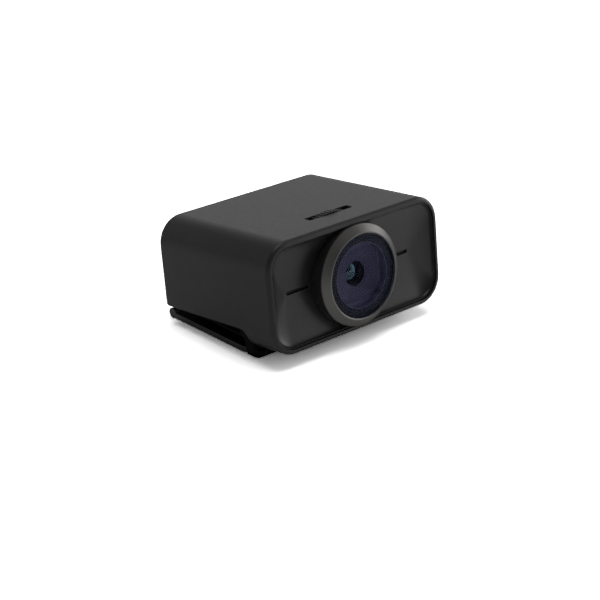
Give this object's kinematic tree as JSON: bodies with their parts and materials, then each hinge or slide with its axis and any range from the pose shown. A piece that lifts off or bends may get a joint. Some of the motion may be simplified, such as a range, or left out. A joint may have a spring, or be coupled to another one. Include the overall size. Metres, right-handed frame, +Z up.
{
  "type": "conference webcam",
  "caption": "Box-shaped desktop conference camera with a dished front, a wide lens ring, a thumb-wheel lens shutter and a folding screen clip.",
  "frame": {"origin": "mouth of the tripod thread in the underside of the folded clip", "axes": "+Z up with the head level, +Y from the lens towards the back, +X to the right seen from the front"},
  "size_m": [0.103, 0.0848, 0.0566],
  "materials": {
    "shell": "fine satin moulded black plastic",
    "panel": "satin moulded black plastic",
    "ring": "satin graphite coating",
    "optic_glass": "polished, violet anti-reflection coating",
    "hood": "dark matt baffle",
    "lens_black": "blackened",
    "wheel": "satin with finger ridges",
    "clip": "satin moulded black plastic",
    "grip": "dull soft-touch black plastic",
    "rubber": "matt, fine grain",
    "steel": "plain",
    "black_steel": "blackened",
    "cast": "as cast",
    "brass": "turned",
    "board": "solder mask",
    "chip": "moulded epoxy",
    "sensor": "polished cover",
    "flex": "polyimide film",
    "mesh": "woven acoustic mesh"
  },
  "bodies": {
    "leg": {"leg_pad": "rubber", "mount_leg": "clip", "tripod_insert": "brass"},
    "base": {"base_pad": "rubber", "fold_washers": "steel", "leg_hinge_pin": "steel", "mount_base": "grip", "tilt_hinge_pin": "steel", "tilt_washers": "steel"},
    "head": {"aperture_stop": "lens_black", "audio_chip": "chip", "blade_pin": "steel", "body_sleeve": "shell", "case_screws": "black_steel", "chassis": "cast", "cover_glass": "optic_glass", "front_lens": "optic_glass", "front_panel": "panel", "heat_sink": "cast", "holder_screws": "steel", "image_sensor": "sensor", "ir_filter": "optic_glass", "lens_barrel": "lens_black", "lens_holder": "lens_black", "lens_hood": "hood", "lens_ring": "ring", "lens_spacer": "lens_black", "main_board": "board", "main_board_screws": "steel", "memory_chip": "chip", "mic_board_left": "board", "mic_board_right": "board", "mic_gasket_left": "rubber", "mic_gasket_right": "rubber", "mic_mesh_left": "mesh", "mic_mesh_right": "mesh", "middle_lens": "optic_glass", "processor": "chip", "rear_cover": "shell", "rear_lens": "optic_glass", "sensor_board": "board", "sensor_flex": "flex", "shutter_base": "lens_black", "shutter_base_screws": "steel", "thermal_pad": "rubber", "tilt_bracket": "black_steel", "tilt_bracket_screws": "steel", "usb_c_port": "steel"},
    "thumb_wheel": {"shutter_wheel": "wheel"},
    "blade": {"shutter_blade": "lens_black"}
  },
  "joints": [
    {"name": "leg_fold", "type": "hinge", "parent": "leg", "child": "base", "pos_m": [0, 0.03055, 0.00579], "axis": [-1, 0, 0], "range_deg": [0, 95]},
    {"name": "head_tilt", "type": "hinge", "parent": "base", "child": "head", "pos_m": [0, 0.022, 0.00855], "axis": [-1, 0, 0], "range_deg": [0, 20]},
    {"name": "wheel_turn", "type": "hinge", "parent": "head", "child": "thumb_wheel", "pos_m": [0, -0.032, 0.0269], "axis": [0, -1, 0], "range_deg": [0, 29.75]},
    {"name": "blade_swing", "type": "hinge", "parent": "head", "child": "blade", "pos_m": [0.0108, -0.0449, 0.0269], "axis": [0, -1, 0], "range_deg": [0, 68]}
  ],
  "couplings": [
    {"joint": "blade_swing", "follows": "wheel_turn", "ratio": 2.2857}
  ]
}
